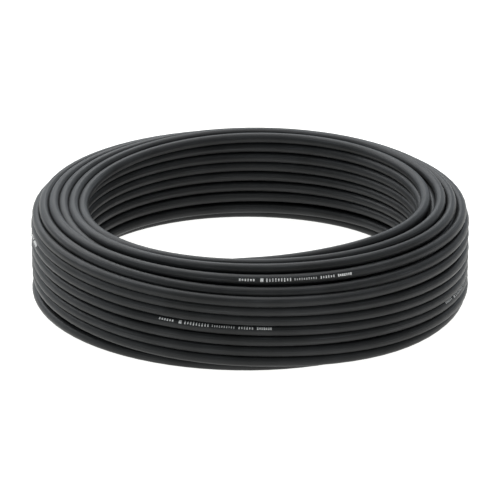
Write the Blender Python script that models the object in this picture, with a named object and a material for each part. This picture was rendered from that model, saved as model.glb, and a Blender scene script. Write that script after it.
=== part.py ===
"""A bare coil of supply hose, wound in five layers, lying flat on the ground.

The hose is one continuous tube.  Each layer of its winding is a turned ring of that layer's
outer shape.  The two ends of the hose are tubes of their own: the first stretch lies inside the
coil, against its inner wall, and the last turn lies on top of the fourth layer.

Units are metres, +Z is up.  The origin is on the ground, on the axis of the coil.  The ground
in front of the coil is towards -Y.  From the inner end to the outer end the hose runs clockwise,
seen from above.
"""

import math

import bmesh
import bpy

# ---- driving dimensions -------------------------------------------------------------------
HOSE_DIAMETER = 0.0063          # outside diameter of the tube
COIL_INNER_RADIUS = 0.1004      # inner wall of the winding
LAYER_PITCH = 0.0061            # from one layer to the next, a little under one diameter
ROWS_IN_LAYER = (10.05, 9.9, 9.45, 7.85, 7.85)    # height of each layer in diameters
GAP = 0.0003                    # between pieces that touch

# ---- the two ends -------------------------------------------------------------------------
INNER_END_FROM = 5.0            # azimuth of the inner cut end, degrees from +X
INNER_END_TO = -75.0            # where the first stretch joins the inner layer
OUTER_END_FROM = 60.0           # where the last turn has climbed onto the fourth layer
OUTER_END_TO = -265.0           # azimuth of the outer cut end
POINT_SPACING = 2.0             # between a tube's points, in diameters
TUBE_RESOLUTION = 3             # bevel resolution of a tube, ten sides

# ---- fineness -----------------------------------------------------------------------------
RING_SEGMENTS = 48
CROWN_SEGMENTS = 7              # facets over the rounded top of a layer
ROW_SEGMENTS = 3                # facets over a row that shows on a wall
ROW_HALF_ANGLE = math.radians(60)   # how far round the hose a row shows, above and below
FOOT_CHAMFER = 0.0008           # on the two lower edges of a layer

# ---- derived ------------------------------------------------------------------------------
HOSE_RADIUS = HOSE_DIAMETER / 2
LAYER_COUNT = len(ROWS_IN_LAYER)
HALF_WIDTH = (LAYER_PITCH - GAP) / 2
LAYER_3_WALL = COIL_INNER_RADIUS + HOSE_RADIUS + 2 * LAYER_PITCH + HALF_WIDTH
LAST_TURN_RADIUS = LAYER_3_WALL + 2 * GAP + HOSE_RADIUS
LAYER_4_WALL = LAYER_3_WALL + LAYER_PITCH
COIL_OUTER_RADIUS = LAYER_4_WALL + 2 * GAP + HOSE_DIAMETER

# ---- looks --------------------------------------------------------------------------------
CHARCOAL = (0.030, 0.031, 0.034)
SATIN_ROUGHNESS = 0.42
SHADE_STEP = 0.06               # each layer is this much lighter than the one inside it
INNER_END_SHADE = 1.2
OUTER_END_SHADE = 1.3
SHARP_ANGLE = math.radians(35)  # edges steeper than this stay sharp


def clear_scene():
    for old in list(bpy.data.objects):
        bpy.data.objects.remove(old, do_unlink=True)


def hose_material(name, shade):
    """Satin charcoal polyethylene; shade lightens or darkens one piece a little."""
    material = bpy.data.materials.new(name)
    material.use_nodes = True
    shader = material.node_tree.nodes["Principled BSDF"]
    colour = [channel * shade for channel in CHARCOAL] + [1.0]
    shader.inputs["Base Color"].default_value = colour
    shader.inputs["Roughness"].default_value = SATIN_ROUGHNESS
    shader.inputs["Metallic"].default_value = 0.0
    return material


def layer_centre(index):
    """Radius of the middle of a layer; 0 is the innermost."""
    return COIL_INNER_RADIUS + HOSE_RADIUS + index * LAYER_PITCH


def row_bulges(middle, half, low, high, count, side):
    """The rows of hose that show on one wall, from low to high, each a shallow arc.

    side is 1 for the outer wall and -1 for the inner wall.
    """
    pitch = (high - low) / count
    points = [(middle + side * half * math.cos(ROW_HALF_ANGLE), low)]
    for row in range(count):
        centre = low + (row + 0.5) * pitch
        for step in range(1, ROW_SEGMENTS + 1):
            angle = ROW_HALF_ANGLE * (2 * step / ROW_SEGMENTS - 1)
            rise = pitch / 2 * math.sin(angle) / math.sin(ROW_HALF_ANGLE)
            points.append((middle + side * half * math.cos(angle), centre + rise))
    return points


def layer_profile(index):
    """Closed outline of one layer in the XZ plane: flat foot, round crown and its two sides.

    The inner side of the first layer and the outer side of the last show their rows.
    """
    shows_inside = index == 0
    shows_outside = index == LAYER_COUNT - 1
    inner = COIL_INNER_RADIUS if shows_inside else layer_centre(index) - HALF_WIDTH
    outer = COIL_OUTER_RADIUS if shows_outside else layer_centre(index) + HALF_WIDTH
    middle = (inner + outer) / 2
    half = (outer - inner) / 2
    top = ROWS_IN_LAYER[index] * HOSE_DIAMETER
    rows_top = top - half - half * math.sin(ROW_HALF_ANGLE)
    rows_below_crown = round(ROWS_IN_LAYER[index]) - 1

    crown_start = 0.0
    outer_side = [(outer - FOOT_CHAMFER, 0.0), (outer, FOOT_CHAMFER)]
    if shows_outside:
        crown_start = -ROW_HALF_ANGLE
        outer_side = row_bulges(middle, half, 0.0, rows_top, rows_below_crown, 1)[:-1]
    crown_end = math.pi
    inner_side = [(inner, FOOT_CHAMFER), (inner + FOOT_CHAMFER, 0.0)]
    if shows_inside:
        crown_end = math.pi + ROW_HALF_ANGLE
        inner_side = row_bulges(middle, half, 0.0, rows_top, rows_below_crown, -1)[-2::-1]

    crown = []
    for step in range(CROWN_SEGMENTS + 1):
        angle = crown_start + (crown_end - crown_start) * step / CROWN_SEGMENTS
        crown.append((middle + half * math.cos(angle), top - half + half * math.sin(angle)))
    return outer_side + crown + inner_side


def turned_ring(name, profile, material):
    """A closed outline turned once round the coil's axis."""
    mesh = bpy.data.meshes.new(name)
    work = bmesh.new()
    corners = [work.verts.new((radius, 0.0, height)) for radius, height in profile]
    edges = []
    for here, after in zip(corners, corners[1:] + corners[:1]):
        edges.append(work.edges.new((here, after)))
    bmesh.ops.spin(
        work,
        geom=corners + edges,
        cent=(0.0, 0.0, 0.0),
        axis=(0.0, 0.0, 1.0),
        angle=2 * math.pi,
        steps=RING_SEGMENTS,
        use_merge=True,
    )
    bmesh.ops.recalc_face_normals(work, faces=work.faces)
    work.to_mesh(mesh)
    work.free()
    mesh.shade_smooth()
    mesh.set_sharp_from_angle(angle=SHARP_ANGLE)
    mesh.materials.append(material)
    ring = bpy.data.objects.new(name, mesh)
    bpy.context.collection.objects.link(ring)
    return ring


def arc_route(radius, height, start_degrees, end_degrees):
    """Points along a level arc round the coil's axis."""
    sweep = math.radians(end_degrees - start_degrees)
    count = 1 + math.ceil(abs(sweep) * radius / (POINT_SPACING * HOSE_DIAMETER))
    route = []
    for step in range(count):
        angle = math.radians(start_degrees) + sweep * step / (count - 1)
        route.append((radius * math.cos(angle), radius * math.sin(angle), height))
    return route


def hose_tube(name, route, material):
    """A stretch of hose along a route, closed at both ends."""
    curve = bpy.data.curves.new(name, "CURVE")
    curve.dimensions = "3D"
    curve.bevel_depth = HOSE_RADIUS
    curve.bevel_resolution = TUBE_RESOLUTION
    curve.use_fill_caps = True
    curve.render_resolution_u = 0
    spline = curve.splines.new("POLY")
    spline.points.add(len(route) - 1)
    for point, place in zip(spline.points, route):
        point.co = (*place, 1.0)
    curve.materials.append(material)
    tube = bpy.data.objects.new(name, curve)
    bpy.context.collection.objects.link(tube)
    return tube


def winding_layers():
    for index in range(LAYER_COUNT):
        name = f"winding_layer_{index + 1}"
        material = hose_material(name, 1.0 + SHADE_STEP * index)
        turned_ring(name, layer_profile(index), material)


def inner_end():
    """The first stretch: on the ground inside the coil, against the inner layer."""
    radius = COIL_INNER_RADIUS - 2 * GAP - HOSE_RADIUS
    route = arc_route(radius, HOSE_RADIUS + GAP, INNER_END_FROM, INNER_END_TO)
    hose_tube("hose_inner_end", route, hose_material("hose_inner_end", INNER_END_SHADE))


def outer_end():
    """The last turn: on top of the fourth layer, against the wall of the third."""
    height = ROWS_IN_LAYER[3] * HOSE_DIAMETER + GAP + HOSE_RADIUS
    route = arc_route(LAST_TURN_RADIUS, height, OUTER_END_FROM, OUTER_END_TO)
    hose_tube("hose_outer_end", route, hose_material("hose_outer_end", OUTER_END_SHADE))


clear_scene()
winding_layers()
inner_end()
outer_end()
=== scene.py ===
"""Looks for the bare coil of supply hose, on a plain pale floor.

The hose is one tube swept along one route, from its inner cut end, through every turn of the
coil, to its outer cut end.  The route is given turn by turn at four places round the coil, as a
column (counted outwards from the inner one) and a height, both in hose diameters.
Units are metres, +Z is up, and the front of the coil is towards -Y.
"""

import bisect
import math
import random

import bmesh
import bpy
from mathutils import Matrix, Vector


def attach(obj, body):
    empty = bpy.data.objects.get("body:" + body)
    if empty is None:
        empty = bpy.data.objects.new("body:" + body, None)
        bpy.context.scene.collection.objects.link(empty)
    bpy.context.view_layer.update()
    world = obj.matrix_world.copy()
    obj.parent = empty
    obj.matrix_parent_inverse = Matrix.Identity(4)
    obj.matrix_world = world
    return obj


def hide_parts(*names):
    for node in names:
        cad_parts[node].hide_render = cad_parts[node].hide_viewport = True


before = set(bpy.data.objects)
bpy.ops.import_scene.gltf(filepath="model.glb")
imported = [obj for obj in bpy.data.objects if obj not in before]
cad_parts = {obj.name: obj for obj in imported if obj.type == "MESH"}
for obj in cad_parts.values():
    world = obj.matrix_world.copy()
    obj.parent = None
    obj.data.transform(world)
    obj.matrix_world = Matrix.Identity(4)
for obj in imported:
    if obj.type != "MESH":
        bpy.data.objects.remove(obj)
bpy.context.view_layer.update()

# ---- the hose, as in the CAD model ----------------------------------------------------------
HOSE_DIAMETER = 0.0063
HOSE_RADIUS = HOSE_DIAMETER / 2
BORE_RADIUS = 0.0023
INNER_COLUMN_RADIUS = 0.10355       # radius of the innermost turns
COLUMN_PITCH = 0.00624              # from one column to the next
BORE_DEPTH = 0.02                   # how far the bore is open behind a cut end
SKIN = 0.985                        # the tube is this much of its room, so that turns don't merge

# ---- the route ------------------------------------------------------------------------------
# Each turn is given at the front, the left, the back and the right of the coil, in the order in
# which the hose passes them, clockwise from above: (column, height) in hose diameters.
TURN = 360.0
QUARTER = 90.0
STATIONS_PER_TURN = 4
INNER_END_AZIMUTH = 5.0
OUTER_END_AZIMUTH = 95.0
GROUND = 0.5                        # height of a turn that lies on the ground
EASE = 0.08                         # how softly a turn comes down on the ground

# the first stretch lies inside the coil; then it goes into the winding:
# (degrees past the front, column, height)
EYE_COLUMN = -1.1
STRAIGHT_START = 40                 # degrees over which the inner end keeps its column
INTO_THE_WINDING = (
    (-15.0, EYE_COLUMN, GROUND),
    (10.0, -0.8, GROUND),
    (35.0, -0.15, GROUND),
    (60.0, 0.4, 1.0),
    (90.0, 0.9, 1.7),
)

# the hidden turns, in the order of travel: (column, first height, last height, turns)
HIDDEN_COLUMNS = (
    (1.0, 2.1, 8.35, 7),
    (2.0, 7.95, 2.45, 5),
    (2.95, 2.4, 7.7, 6),
)
TOP_OF_FIRST_COLUMN = ((0.85, 8.70), (0.95, 8.20), (0.8, 8.40), (1.08, 8.80))

# before it comes up, the hose lies in the valley below the top turns, from the right to the left:
# (degrees past the front, column, height)
BELOW_THE_TOP = ((-90, 3.00, 8.06), (-45, 2.20, 8.31), (0, 1.47, 8.50), (45, 1.48, 8.56))
EMERGING = ((1.42, 9.05), (1.90, 9.15), (2.85, 9.08))   # it comes up on the left

# the turns that show: top, then down the inner wall, under the coil, up the outer wall and top
SHOWN_TURNS = (
    ((1.30, 9.58), (0.48, 9.05), (0.90, 9.46), (1.83, 9.50)),
    ((0.37, 9.65), (-0.50, 8.88), (-0.15, 9.38), (0.39, 9.60)),
    ((-0.40, 9.50), (-0.10, 8.10), (0.00, 8.36), (0.05, 8.65)),
    ((0.00, 7.90), (0.00, 7.20), (0.00, 7.27), (0.00, 7.65)),
    ((0.00, 6.95), (0.00, 6.30), (0.00, 6.28), (0.00, 6.70)),
    ((0.00, 6.05), (0.00, 5.45), (0.00, 5.24), (0.00, 5.70)),
    ((0.00, 5.05), (0.00, 4.45), (0.00, 4.10), (0.00, 4.65)),
    ((0.00, 4.00), (0.00, 3.35), (0.00, 3.00), (0.00, 3.65)),
    ((0.00, 2.95), (0.00, 2.25), (0.00, 1.78), (0.00, 2.38)),
    ((0.00, 1.95), (1.10, 1.28), (0.68, 1.05), (0.00, 1.45)),
    ((0.35, 0.90), (2.05, 0.70), (1.60, 0.66), (1.40, 0.68)),
    ((1.30, 0.55), (2.62, 1.40), (2.45, 1.25), (2.15, 1.10)),
    ((2.20, 0.50), (3.15, 0.50), (3.15, 0.50), (2.85, 0.50)),
    ((3.15, 0.72), (4.14, 0.56), (4.20, 0.60), (3.92, 0.52)),
    ((4.06, 1.56), (4.10, 2.28), (4.02, 1.65), (4.12, 1.05)),
    ((4.06, 2.58), (4.10, 3.18), (4.00, 2.60), (4.12, 1.94)),
    ((4.06, 3.60), (4.10, 4.22), (4.00, 3.58), (4.12, 2.86)),
    ((4.06, 4.64), (4.10, 5.28), (4.00, 4.58), (4.12, 3.86)),
    ((4.06, 5.66), (4.10, 6.30), (4.00, 5.60), (4.12, 4.90)),
    ((4.06, 6.60), (4.10, 7.26), (4.00, 6.62), (4.12, 6.28)),
    ((4.05, 7.46), (4.00, 8.15), (3.98, 7.52), (4.12, 7.36)),
    ((3.28, 8.08), (3.30, 8.88), (3.72, 8.35), (3.90, 8.35)),
)
LAST_TURN = ((2.30, 8.92), (2.35, 9.10))                # front and left, then its cut end
OUTER_END = (2.90, 8.65)
# where a turn leaves its smooth line: (shown turn, degrees clockwise, column, height)
HUMPS = (
    (1, 326.0, 0.0, 9.95),
    (2, 20.0, -0.40, 8.90),
    (13, 315.0, 3.98, 0.66),
    (14, 315.0, 4.10, 1.58),
)

# ---- fineness -------------------------------------------------------------------------------
RINGS_PER_TURN = 80
SIDES = 20
CORD_POINTS_PER_TURN = 40
WAVER = 0.022                       # how far a turn strays from its place, in diameters
WAVER_WAVES = 5
WAVER_PACES = (0.012, 0.05)         # slowest and fastest wave, radians per degree travelled
WAVER_SIZES = (0.5, 1.0)
SIDEWAYS_SEED = 3
UPWARDS_SEED = 8

# ---- camera ---------------------------------------------------------------------------------
CAMERA_DISTANCE = 2.3697
CAMERA_ELEVATION = math.radians(22.51)
LENS = 281.6
SENSOR = 36.0
CLIP_END = 50.0
AIM_HEIGHT = 0.0336                 # the height that the camera's distance is measured from
LOOK_DOWN_AT = Vector((0.0, 0.0, 0.0255))

# ---- light ----------------------------------------------------------------------------------
BACKDROP_COLOUR = (0.86, 0.93, 1.0)
BACKDROP_WAY = (-0.45, 0.89, 0.0)   # towards its bright side
BACKDROP = (-0.35, 0.7, 0.27, 1.05)    # along that way: from, to, dimmest, brightest
# each softbox: (name, place, size, power)
SOFTBOXES = (
    ("top_softbox", (0.0, 0.28, 1.6), (1.6, 1.35), 17.5),
    ("back_softbox", (-0.6, 1.35, 1.35), (2.0, 1.2), 24.0),
    ("left_softbox", (-1.55, 0.6, 1.15), (0.6, 0.5), 6.0),
)
SOFTBOX_AIM = Vector((0.0, 0.0, 0.02))

# ---- prints ---------------------------------------------------------------------------------
# The same plain row of ticks comes again about every metre along the turns of the outer wall.
# Each row runs from its start back towards the inner end.
PRINT_START = 3.0                   # degrees past the front on the last turn
PRINT_SPACING = 1.0040
PRINT_SLIP = 0.0102                 # the spacings nearest the outer end are this much shorter
PRINTS_SLIPPED = 4                  # how many they are
PRINT_COUNT = 9
PRINT_TILT = math.radians(20)       # above level, facing outwards, at the last print
PRINT_TWIST = math.radians(5.6)     # what it turns by from each print to the one before it
PRINT_PROUD = 0.00005               # how far a tick stands out of the hose
PRINT_ROOT = 0.97                   # a tick starts at this share of the hose's radius
TICK_STEPS = 3                      # facets across a tick
TICK_SHARES = (1.0, 0.8, 0.92)      # the ticks of a group take these shares of its height in turn
# groups of ticks: (from, to, ticks, height, width), all in millimetres
TICK_GROUPS = (
    (0.0, 8.8, 6, 1.5, 0.9),
    (12.0, 13.8, 1, 2.1, 1.8),
    (15.4, 29.5, 9, 2.1, 0.7),
    (31.4, 44.2, 10, 1.3, 0.5),
    (46.6, 54.8, 6, 1.6, 0.7),
    (57.0, 65.4, 7, 1.6, 0.9),
)

# ---- looks ----------------------------------------------------------------------------------
HOSE_SPECULAR = 0.14
HOSE_DARK = (0.020, 0.0204, 0.0200)
HOSE_LIGHT = (0.0335, 0.0343, 0.0350)
HOSE_ROUGHNESS = (0.30, 0.50)       # where the draw lines are low and high
SCUFF_COLOUR = (0.040, 0.042, 0.046)   # added where the hose is scuffed
NO_COLOUR = (0.0, 0.0, 0.0)
MOTTLE_SCALE = 45.0
LINE_STRETCH = (5.0, 15.0, 1.0)     # noise waves per metre of hose and once round it
SCUFF_STRETCH = (22.0, 44.0, 1.0)
GRAIN_SCALE = 2600.0
LINE_BUMP = (0.5, 0.00012)          # strength and distance
SCUFF_BUMP = (0.25, 0.00006)
GRAIN_BUMP = (0.10, 0.00008)
INK_DARK = (0.40, 0.40, 0.39)
INK_LIGHT = (0.85, 0.85, 0.83)
INK_ROUGHNESS = (0.5, 0.75)
INK_SCALE = 900.0
INK_BUMP = (0.15, 0.00005)
FLOOR_COLOUR = (0.30, 0.30, 0.29)
FLOOR_ROUGHNESS = 0.9
FLOOR_GLOW = (1.0, 1.0, 0.985)
FLOOR_GLOW_STRENGTH = 1.02
FLOOR_HALF = 6.0
FLOOR_DROP = 0.0002                 # how far the floor lies below the ground


# ============================== route ========================================================
def clockwise_from_front(azimuth):
    """Degrees travelled clockwise from the front of the coil to an azimuth, 0 to 360."""
    return (-QUARTER - azimuth) % TURN


def hidden_turns():
    """(column, height) at each quarter turn for the turns inside the winding."""
    stops = []
    for column, first, last, count in HIDDEN_COLUMNS:
        for turn in range(count):
            height = first + (last - first) * turn / (count - 1)
            stops.append((column, height))
    places = []
    for here, after in zip(stops, stops[1:] + [stops[-1]]):
        for quarter in range(STATIONS_PER_TURN):
            share = quarter / STATIONS_PER_TURN
            places.append(tuple(a + (b - a) * share for a, b in zip(here, after)))
    top = (HIDDEN_COLUMNS[0][3] - 1) * STATIONS_PER_TURN
    places[top:top + STATIONS_PER_TURN] = TOP_OF_FIRST_COLUMN
    return places


def route_knots():
    """(degrees clockwise, column, height) at each knot of the route, in order of travel."""
    start = clockwise_from_front(INNER_END_AZIMUTH) - TURN
    knots = [(start, EYE_COLUMN, GROUND), (start + STRAIGHT_START, EYE_COLUMN, GROUND)]
    knots += INTO_THE_WINDING

    # the way into the winding stands for the first two quarters, BELOW_THE_TOP for the last one
    hidden = hidden_turns()
    for quarter in range(2, len(hidden) - 1):
        knots.append((QUARTER * quarter, *hidden[quarter]))
    travelled = QUARTER * len(hidden)
    knots += [(travelled + turned, *place) for turned, *place in BELOW_THE_TOP]
    for quarter, place in enumerate(EMERGING, start=1):
        knots.append((travelled + QUARTER * quarter, *place))

    travelled += TURN
    for index, turn in enumerate(SHOWN_TURNS):
        for quarter, place in enumerate(turn):
            knots.append((travelled + QUARTER * quarter, *place))
        knots += [(travelled + turned, *place) for at, turned, *place in HUMPS if at == index]
        travelled += TURN
    for quarter, place in enumerate(LAST_TURN):
        knots.append((travelled + QUARTER * quarter, *place))
    knots.append((travelled + clockwise_from_front(OUTER_END_AZIMUTH), *OUTER_END))
    return sorted(knots)


def smooth(knots, at):
    """Column and height at a travelled angle: a cubic through the knots."""
    low = bisect.bisect(knots, at, 1, len(knots) - 1, key=lambda knot: knot[0]) - 1
    before = knots[max(low - 1, 0)]
    here, after = knots[low], knots[low + 1]
    beyond = knots[min(low + 2, len(knots) - 1)]
    span = after[0] - here[0]
    share = (at - here[0]) / span
    values = []
    for axis in (1, 2):
        slope_here = (after[axis] - before[axis]) / (after[0] - before[0]) * span
        slope_after = (beyond[axis] - here[axis]) / (beyond[0] - here[0]) * span
        square, cube = share * share, share ** 3
        values.append(
            (2 * cube - 3 * square + 1) * here[axis]
            + (cube - 2 * square + share) * slope_here
            + (-2 * cube + 3 * square) * after[axis]
            + (cube - square) * slope_after
        )
    return values


def above_ground(height):
    """The height, eased so that the hose lies on the ground and not in it."""
    clear = height - GROUND
    return GROUND + (clear + math.sqrt(clear * clear + EASE * EASE)) / 2


def waver(seed):
    """A slow, smooth wander along the route, as a function of the travelled angle."""
    chance = random.Random(seed)
    waves = [
        (chance.uniform(*WAVER_PACES), chance.uniform(0, math.tau), chance.uniform(*WAVER_SIZES))
        for _ in range(WAVER_WAVES)
    ]
    total = sum(size for _, _, size in waves)

    def value(at):
        return WAVER * sum(s * math.sin(f * at + p) for f, p, s in waves) / total * 2

    return value


def route_points(per_turn):
    """The hose's centreline, from its inner to its outer cut end."""
    knots = route_knots()
    start, end = knots[0][0], knots[-1][0]
    count = math.ceil((end - start) / TURN * per_turn)
    sideways, upwards = waver(SIDEWAYS_SEED), waver(UPWARDS_SEED)
    points = []
    for step in range(count + 1):
        at = start + (end - start) * step / count
        column, height = smooth(knots, at)
        column += sideways(at)
        height = above_ground(height + upwards(at))
        radius = INNER_COLUMN_RADIUS + column * COLUMN_PITCH
        azimuth = math.radians(-QUARTER - at)
        points.append(Vector((
            radius * math.cos(azimuth),
            radius * math.sin(azimuth),
            height * HOSE_DIAMETER,
        )))
    return points


def lengths_along(points):
    """The length of the route up to each of its points."""
    total = [0.0]
    for a, b in zip(points, points[1:]):
        total.append(total[-1] + (b - a).length)
    return total


# ============================== hose mesh ====================================================
def placed(name, mesh):
    """An object in the scene made of a finished bmesh."""
    data = bpy.data.meshes.new(name)
    mesh.to_mesh(data)
    mesh.free()
    obj = bpy.data.objects.new(name, data)
    bpy.context.scene.collection.objects.link(obj)
    return obj


def directions(points):
    """The way along the hose at each point."""
    found = []
    for index in range(len(points)):
        a = points[max(index - 1, 0)]
        b = points[min(index + 1, len(points) - 1)]
        found.append((b - a).normalized())
    return found


def frames(points):
    """At each point: the way along the hose, the way up across it, and the way to the axis."""
    found = []
    for along in directions(points):
        up = Vector((0, 0, 1)) - along * along.z
        up.normalize()
        found.append((along, up, along.cross(up)))
    return found


def ring(mesh, centre, up, inward, radius):
    verts = []
    for side in range(SIDES):
        angle = math.tau * side / SIDES
        across = up * math.cos(angle) + inward * math.sin(angle)
        verts.append(mesh.verts.new(centre + across * radius))
    return verts


def join_rings(mesh, first, second, uv=None, u=(0, 0)):
    """Faces between two rings; u is how far along the hose each ring is, for the UV layer."""
    for side in range(SIDES):
        after = (side + 1) % SIDES
        face = mesh.faces.new((first[side], first[after], second[after], second[side]))
        face.smooth = True
        if uv is not None:
            corners = ((u[0], side), (u[0], side + 1), (u[1], side + 1), (u[1], side))
            for loop, (along, around) in zip(face.loops, corners):
                loop[uv].uv = (along, around / SIDES)


def cut_end(mesh, outer, centre, frame_here, into_hose):
    """A square cut across the hose, with its bore open behind it."""
    _, up, inward = frame_here
    lip = ring(mesh, centre, up, inward, BORE_RADIUS)
    floor = ring(mesh, centre + into_hose * BORE_DEPTH, up, inward, BORE_RADIUS)
    join_rings(mesh, outer, lip)
    join_rings(mesh, lip, floor)
    mesh.faces.new(floor)


def hose_mesh(points):
    mesh = bmesh.new()
    uv = mesh.loops.layers.uv.new("along_and_around")
    total = lengths_along(points)
    found = frames(points)
    rings = [
        ring(mesh, point, up, inward, HOSE_RADIUS * SKIN)
        for point, (_, up, inward) in zip(points, found)
    ]
    for index in range(len(rings) - 1):
        join_rings(mesh, rings[index], rings[index + 1], uv, (total[index], total[index + 1]))
    cut_end(mesh, rings[0], points[0], found[0], found[0][0])
    cut_end(mesh, rings[-1], points[-1], found[-1], -found[-1][0])
    bmesh.ops.recalc_face_normals(mesh, faces=mesh.faces)
    return placed("hose", mesh)


# ============================== prints =======================================================
def place_along(points, found, total, length):
    """The hose's centre and frame at a length along it, as its mesh has them."""
    index = min(max(bisect.bisect(total, length) - 1, 0), len(points) - 2)
    share = (length - total[index]) / (total[index + 1] - total[index])
    centre = points[index].lerp(points[index + 1], share)
    up, inward = (found[index][i].lerp(found[index + 1][i], share).normalized() for i in (1, 2))
    return centre, up, inward


def tick(mesh, ends, tilt, height):
    """One tick: a thin curved plate on the hose between two places along it."""
    reach = height / HOSE_RADIUS
    layers = []
    for radius in (HOSE_RADIUS * SKIN * PRINT_ROOT, HOSE_RADIUS * SKIN + PRINT_PROUD):
        rows = []
        for centre, up, inward in ends:
            row = []
            for step in range(TICK_STEPS + 1):
                angle = tilt + reach * (step / TICK_STEPS - 0.5)
                outward = up * math.sin(angle) - inward * math.cos(angle)
                row.append(mesh.verts.new(centre + outward * radius))
            rows.append(row)
        layers.append(rows)
    low, high = layers
    for step in range(TICK_STEPS):
        for rows in layers:
            mesh.faces.new((rows[0][step], rows[0][step + 1], rows[1][step + 1], rows[1][step]))
        for below, above in zip(low, high):
            mesh.faces.new((below[step], below[step + 1], above[step + 1], above[step]))
    for edge in (0, TICK_STEPS):
        mesh.faces.new((low[0][edge], low[1][edge], high[1][edge], high[0][edge]))


def last_print_start(points, total):
    """The length along the hose at which the last row of ticks starts."""
    knots = route_knots()
    turned = knots[-1][0] - clockwise_from_front(OUTER_END_AZIMUTH) + PRINT_START
    step = (turned - knots[0][0]) / (knots[-1][0] - knots[0][0]) * (len(points) - 1)
    before = int(step)
    return total[before] + (total[before + 1] - total[before]) * (step - before)


def print_mesh(points):
    """Rows of ticks along the last turns of the hose."""
    found, total = frames(points), lengths_along(points)
    last = last_print_start(points, total)
    mesh = bmesh.new()
    for index in range(PRINT_COUNT):
        start = last - index * PRINT_SPACING + min(index, PRINTS_SLIPPED) * PRINT_SLIP
        tilt = PRINT_TILT + PRINT_TWIST * index
        for first, final, count, height, width in TICK_GROUPS:
            for number in range(count):
                pitch = (final - first - width) / max(count - 1, 1)
                near = start - (first + number * pitch) / 1000
                far = near - width / 1000
                ends = [place_along(points, found, total, at) for at in (near, far)]
                share = TICK_SHARES[number % len(TICK_SHARES)]
                tick(mesh, ends, tilt, height / 1000 * share)
    bmesh.ops.recalc_face_normals(mesh, faces=mesh.faces)
    return placed("prints", mesh)


# ============================== materials ====================================================
def new_material(name):
    material = bpy.data.materials.new(name)
    material.use_nodes = True
    tree = material.node_tree
    shader = next(n for n in tree.nodes if n.type == "BSDF_PRINCIPLED")
    return material, tree, shader


def noise(tree, source, scale, detail, stretch=None):
    """A noise texture's value; stretch is its scale along each axis of the source."""
    if stretch is not None:
        mapping = tree.nodes.new("ShaderNodeMapping")
        mapping.inputs["Scale"].default_value = stretch
        tree.links.new(source, mapping.inputs["Vector"])
        source = mapping.outputs["Vector"]
    texture = tree.nodes.new("ShaderNodeTexNoise")
    texture.inputs["Scale"].default_value = scale
    texture.inputs["Detail"].default_value = detail
    tree.links.new(source, texture.inputs["Vector"])
    return texture.outputs["Fac"]


def ramp(tree, value, *stops):
    """A colour for a value, between two stops: (position, colour) each."""
    node = tree.nodes.new("ShaderNodeValToRGB")
    for element, (position, colour) in zip(node.color_ramp.elements, stops):
        element.position = position
        element.color = (*colour, 1)
    tree.links.new(value, node.inputs["Fac"])
    return node.outputs["Color"]


def remap(tree, value, *limits, steps="LINEAR"):
    """A value carried from one range to another; limits are from, from, to, to."""
    node = tree.nodes.new("ShaderNodeMapRange")
    node.interpolation_type = steps
    for name, limit in zip(("From Min", "From Max", "To Min", "To Max"), limits):
        node.inputs[name].default_value = limit
    tree.links.new(value, node.inputs["Value"])
    return node.outputs["Result"]


def bump(tree, shader, *heights):
    """Bumps one on the other: (height, strength, distance) each."""
    normal = None
    for height, strength, distance in heights:
        node = tree.nodes.new("ShaderNodeBump")
        node.inputs["Strength"].default_value = strength
        node.inputs["Distance"].default_value = distance
        tree.links.new(height, node.inputs["Height"])
        if normal is not None:
            tree.links.new(normal, node.inputs["Normal"])
        normal = node.outputs["Normal"]
    tree.links.new(normal, shader.inputs["Normal"])


def hose_material():
    """Extruded charcoal polyethylene: draw lines along it, fine grain and scuffs."""
    material, tree, shader = new_material("charcoal_hose")
    shader.inputs["Specular IOR Level"].default_value = HOSE_SPECULAR
    place = tree.nodes.new("ShaderNodeTexCoord")
    along = tree.nodes.new("ShaderNodeUVMap")
    along.uv_map = "along_and_around"

    mottle = noise(tree, place.outputs["Object"], MOTTLE_SCALE, 5.0)
    lines = noise(tree, along.outputs["UV"], 1.0, 5.0, LINE_STRETCH)
    scuffs = noise(tree, along.outputs["UV"], 1.0, 6.0, SCUFF_STRETCH)
    grain = noise(tree, place.outputs["Object"], GRAIN_SCALE, 2.0)

    shades = tree.nodes.new("ShaderNodeMath")
    shades.operation = "MULTIPLY"
    tree.links.new(mottle, shades.inputs[0])
    tree.links.new(lines, shades.inputs[1])
    plain = ramp(tree, shades.outputs["Value"], (0.12, HOSE_DARK), (0.40, HOSE_LIGHT))
    worn = ramp(tree, scuffs, (0.57, NO_COLOUR), (0.75, SCUFF_COLOUR))
    both = tree.nodes.new("ShaderNodeVectorMath")
    both.operation = "ADD"
    tree.links.new(plain, both.inputs[0])
    tree.links.new(worn, both.inputs[1])
    tree.links.new(both.outputs["Vector"], shader.inputs["Base Color"])
    tree.links.new(remap(tree, lines, 0.3, 0.7, *HOSE_ROUGHNESS), shader.inputs["Roughness"])
    bump(tree, shader, (lines, *LINE_BUMP), (scuffs, *SCUFF_BUMP), (grain, *GRAIN_BUMP))
    return material


def ink_material():
    """Pale ink, a little uneven."""
    material, tree, shader = new_material("pale_ink")
    place = tree.nodes.new("ShaderNodeTexCoord")
    patchy = noise(tree, place.outputs["Object"], INK_SCALE, 3.0)
    colour = ramp(tree, patchy, (0.35, INK_DARK), (0.65, INK_LIGHT))
    tree.links.new(colour, shader.inputs["Base Color"])
    tree.links.new(remap(tree, patchy, 0.3, 0.7, *INK_ROUGHNESS), shader.inputs["Roughness"])
    bump(tree, shader, (patchy, *INK_BUMP))
    return material


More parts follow.
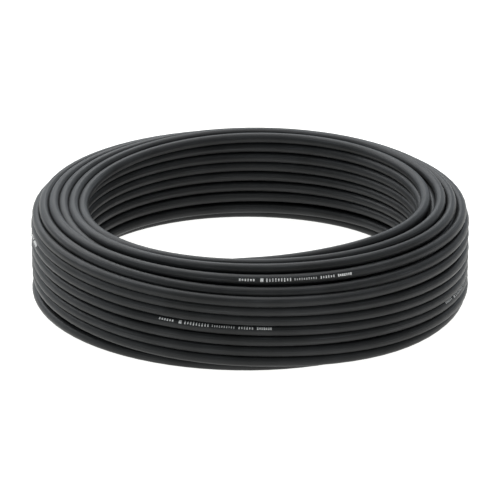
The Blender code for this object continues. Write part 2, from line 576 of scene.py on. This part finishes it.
def floor_material():
    """A pale floor that glows a little, so that it comes out as white as the backdrop."""
    material, _, shader = new_material("pale_floor")
    shader.inputs["Base Color"].default_value = (*FLOOR_COLOUR, 1)
    shader.inputs["Roughness"].default_value = FLOOR_ROUGHNESS
    shader.inputs["Emission Color"].default_value = (*FLOOR_GLOW, 1)
    shader.inputs["Emission Strength"].default_value = FLOOR_GLOW_STRENGTH
    return material


# ============================== stage ========================================================
def make_camera():
    camera = bpy.data.cameras.new("camera")
    camera.lens = LENS
    camera.sensor_width = SENSOR
    camera.clip_end = CLIP_END
    obj = bpy.data.objects.new("camera", camera)
    obj.location = (
        0.0,
        -CAMERA_DISTANCE * math.cos(CAMERA_ELEVATION),
        AIM_HEIGHT + CAMERA_DISTANCE * math.sin(CAMERA_ELEVATION),
    )
    obj.rotation_euler = (LOOK_DOWN_AT - obj.location).to_track_quat("-Z", "Y").to_euler()
    bpy.context.scene.collection.objects.link(obj)
    bpy.context.scene.camera = obj


def soft_light(name, place, size, power):
    light = bpy.data.lights.new(name, "AREA")
    light.shape = "RECTANGLE"
    light.size, light.size_y = size
    light.energy = power
    obj = bpy.data.objects.new(name, light)
    obj.location = place
    aim = SOFTBOX_AIM - Vector(place)
    obj.rotation_euler = aim.to_track_quat("-Z", "Y").to_euler()
    bpy.context.scene.collection.objects.link(obj)


def studio_world():
    """A pale backdrop all round, brighter behind the coil and to its left."""
    world = bpy.data.worlds.new("studio")
    world.use_nodes = True
    tree = world.node_tree
    sky = tree.nodes["Background"]
    sky.inputs["Color"].default_value = (*BACKDROP_COLOUR, 1)
    way = tree.nodes.new("ShaderNodeTexCoord")
    towards = tree.nodes.new("ShaderNodeVectorMath")
    towards.operation = "DOT_PRODUCT"
    towards.inputs[1].default_value = BACKDROP_WAY
    tree.links.new(way.outputs["Generated"], towards.inputs[0])
    brightness = remap(tree, towards.outputs["Value"], *BACKDROP, steps="SMOOTHSTEP")
    tree.links.new(brightness, sky.inputs["Strength"])
    return world


def make_stage():
    mesh = bmesh.new()
    bmesh.ops.create_grid(mesh, x_segments=1, y_segments=1, size=FLOOR_HALF)
    floor = placed("floor", mesh)
    floor.location.z = -FLOOR_DROP
    floor.data.materials.append(floor_material())
    bpy.context.scene.world = studio_world()
    for name, place, size, power in SOFTBOXES:
        soft_light(name, place, size, power)
    bpy.context.scene.view_settings.view_transform = "Standard"


# ============================== build ========================================================
make_camera()
centreline = route_points(RINGS_PER_TURN)
hose = hose_mesh(centreline)
hose.data.materials.append(hose_material())
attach(hose, "root")
prints = print_mesh(centreline)
prints.data.materials.append(ink_material())
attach(prints, "root")
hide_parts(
    "hose_inner_end", "winding_layer_1", "winding_layer_2", "winding_layer_3",
    "winding_layer_4", "winding_layer_5", "hose_outer_end",
)
cord_path = route_points(CORD_POINTS_PER_TURN)
make_stage()
